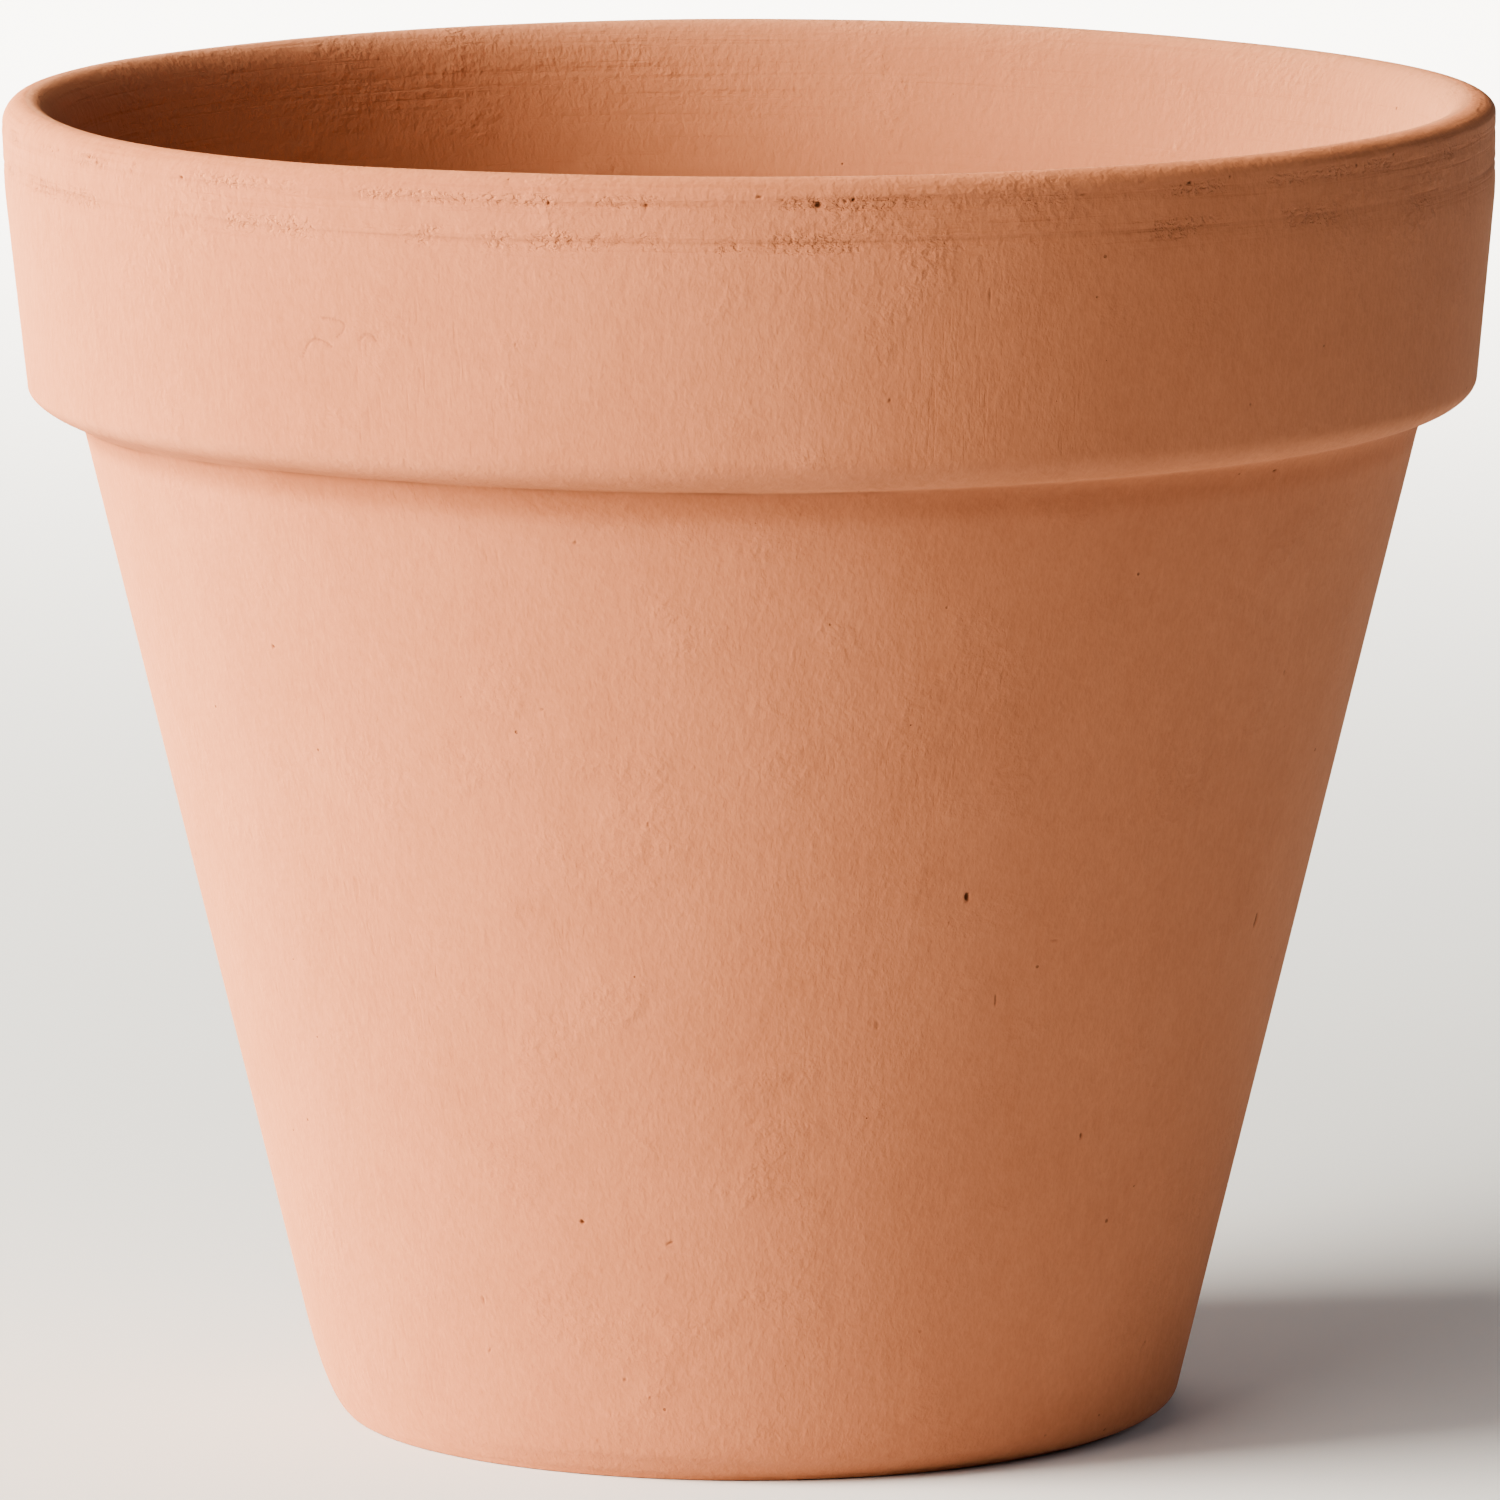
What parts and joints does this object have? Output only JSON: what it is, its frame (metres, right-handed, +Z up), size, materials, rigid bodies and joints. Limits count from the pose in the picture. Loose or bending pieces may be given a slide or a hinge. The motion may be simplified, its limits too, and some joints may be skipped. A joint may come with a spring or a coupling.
{
  "type": "flower pot",
  "caption": "Round tapered flower pot of unglazed fired clay, with a heavy outer collar at the rim, a flat foot and a drain hole in the floor.",
  "frame": {"origin": "on the pot's axis, in the plane that it stands on", "axes": "+Z up along the axis towards the rim; +X and +Y are any two directions across the pot, because it is round"},
  "size_m": [0.17, 0.17, 0.151],
  "materials": {
    "terracotta": "matte, porous, unglazed fired clay"
  },
  "bodies": {
    "root": {"pot": "terracotta"}
  },
  "joints": []
}
